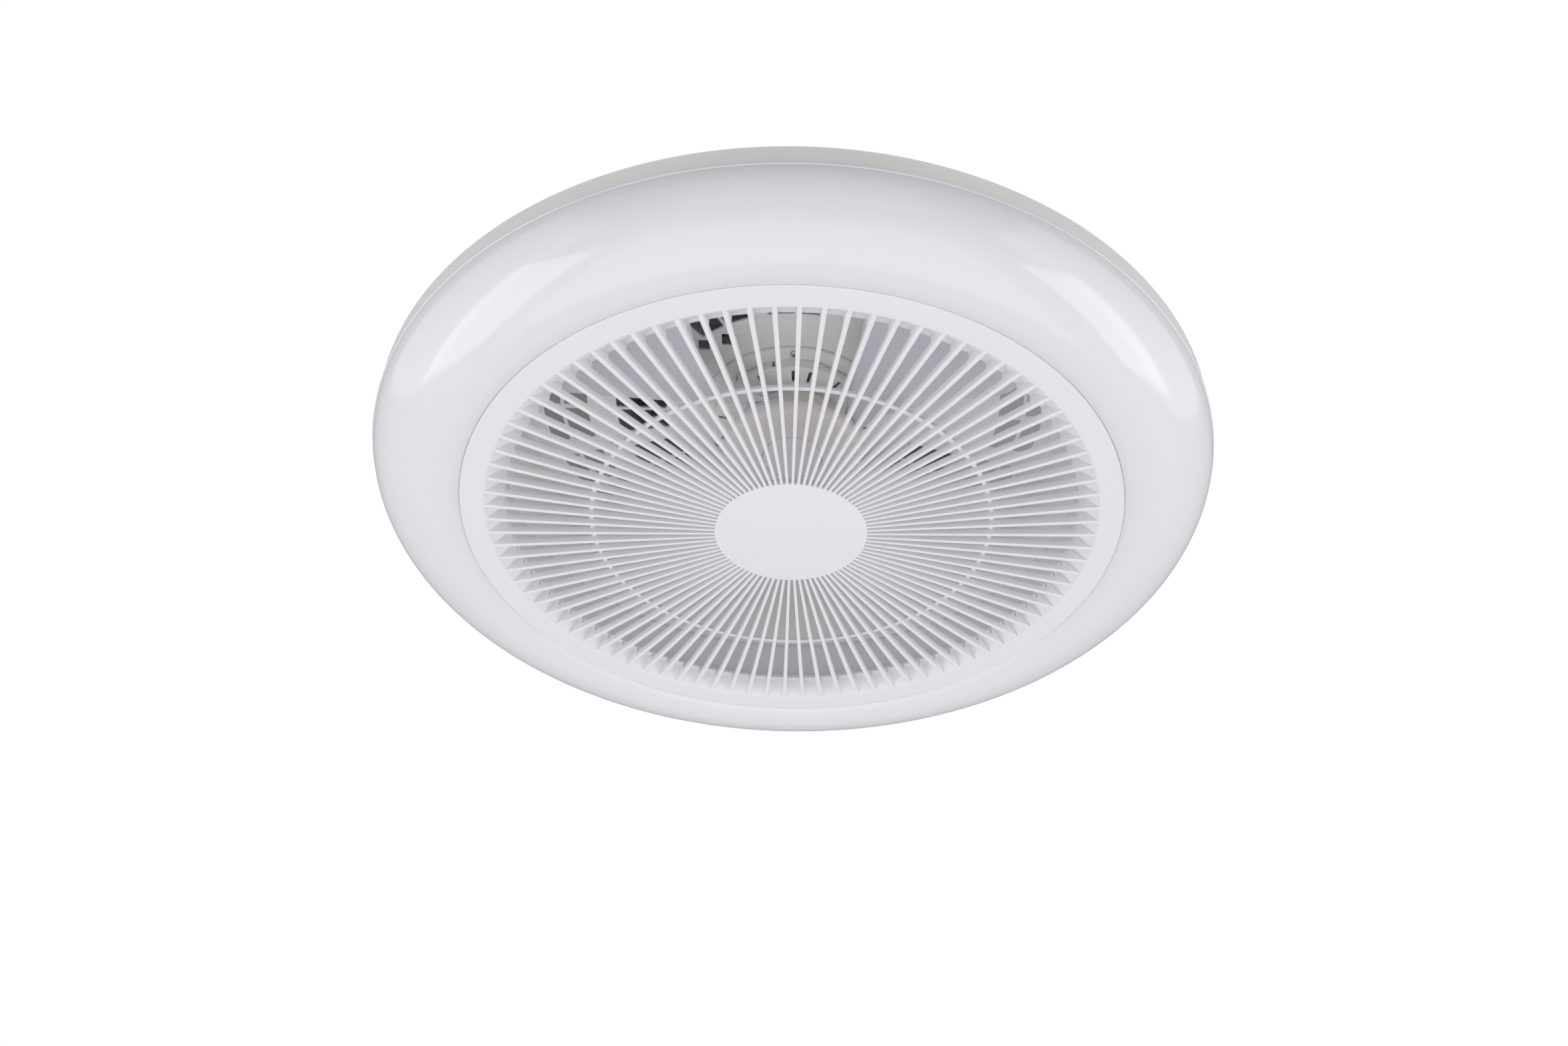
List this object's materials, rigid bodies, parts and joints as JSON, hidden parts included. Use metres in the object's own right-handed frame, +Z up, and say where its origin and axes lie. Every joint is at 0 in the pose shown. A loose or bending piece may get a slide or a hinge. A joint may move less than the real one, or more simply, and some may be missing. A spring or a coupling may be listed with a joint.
{
  "type": "enclosed flush ceiling fan with ring light",
  "caption": "Flush ceiling fan: blades behind a round grille of straight radial ribs, in an opal ring light with a grey rim, under a canopy that holds motor and lamp electronics.",
  "frame": {"origin": "middle of the ceiling plate's top face, on the ceiling", "axes": "+Z up into the ceiling; +X along the mid line between the two electronics boxes; the picture looks from the -Y side and from below"},
  "size_m": [0.5892, 0.5892, 0.2044],
  "materials": {
    "zinc_steel": "satin",
    "grommet_rubber": "matt",
    "canopy_white": "satin",
    "screw_steel": "satin",
    "driver_case": "matt",
    "controller_case": "matt",
    "lead_jacket": "matt",
    "housing_white": "matt",
    "lamination": "matt",
    "copper_winding": "gloss",
    "circuit_board": "satin",
    "led_board": "satin",
    "rim_paint": "satin",
    "grille_white": "satin",
    "blade_white": "satin",
    "hub_warm_white": "satin",
    "magnet_ferrite": "matt",
    "opal_diffuser": "gloss"
  },
  "bodies": {
    "frame": {"ceiling_plate": "zinc_steel", "cable_grommet": "grommet_rubber", "canopy": "canopy_white", "canopy_screw_1": "screw_steel", "canopy_screw_2": "screw_steel", "canopy_screw_3": "screw_steel", "housing_screw_1": "screw_steel", "housing_screw_2": "screw_steel", "housing_screw_3": "screw_steel", "led_driver": "driver_case", "motor_controller": "controller_case", "terminal_block": "driver_case", "motor_lead": "lead_jacket", "led_lead": "lead_jacket", "rear_housing": "housing_white", "motor_mount": "housing_white", "motor_screw_1": "screw_steel", "motor_screw_2": "screw_steel", "motor_screw_3": "screw_steel", "stator_core": "lamination", "stator_windings": "copper_winding", "stator_board": "circuit_board", "bearing_lower": "screw_steel", "bearing_upper": "screw_steel", "lamp_pan": "rim_paint", "pan_screw_1": "screw_steel", "pan_screw_2": "screw_steel", "pan_screw_3": "screw_steel", "pan_screw_4": "screw_steel", "grille_seat": "grille_white", "led_board": "led_board", "board_screw_1": "screw_steel", "board_screw_2": "screw_steel", "board_screw_3": "screw_steel", "board_screw_4": "screw_steel", "diffuser": "opal_diffuser"},
    "rotor": {"motor_shaft": "screw_steel", "retaining_clip": "screw_steel", "rotor_bell": "zinc_steel", "magnet_ring": "magnet_ferrite", "blade_hub": "hub_warm_white", "blade_1": "blade_white", "blade_2": "blade_white", "blade_3": "blade_white", "blade_4": "blade_white", "blade_screw_1": "screw_steel", "blade_screw_2": "screw_steel", "blade_screw_3": "screw_steel", "blade_screw_4": "screw_steel", "blade_screw_5": "screw_steel", "blade_screw_6": "screw_steel", "blade_screw_7": "screw_steel", "blade_screw_8": "screw_steel", "hub_washer": "screw_steel", "hub_nut": "screw_steel", "hub_cap": "grille_white"},
    "grille": {"grille": "grille_white"}
  },
  "joints": [
    {"name": "rotor_spin", "type": "hinge", "parent": "frame", "child": "rotor", "pos_m": [0, 0, -0.112], "axis": [0, 0, 1], "continuous": true},
    {"name": "grille_twist", "type": "hinge", "parent": "frame", "child": "grille", "pos_m": [0, 0, -0.192], "axis": [0, 0, 1], "range_deg": [0, 12]}
  ]
}
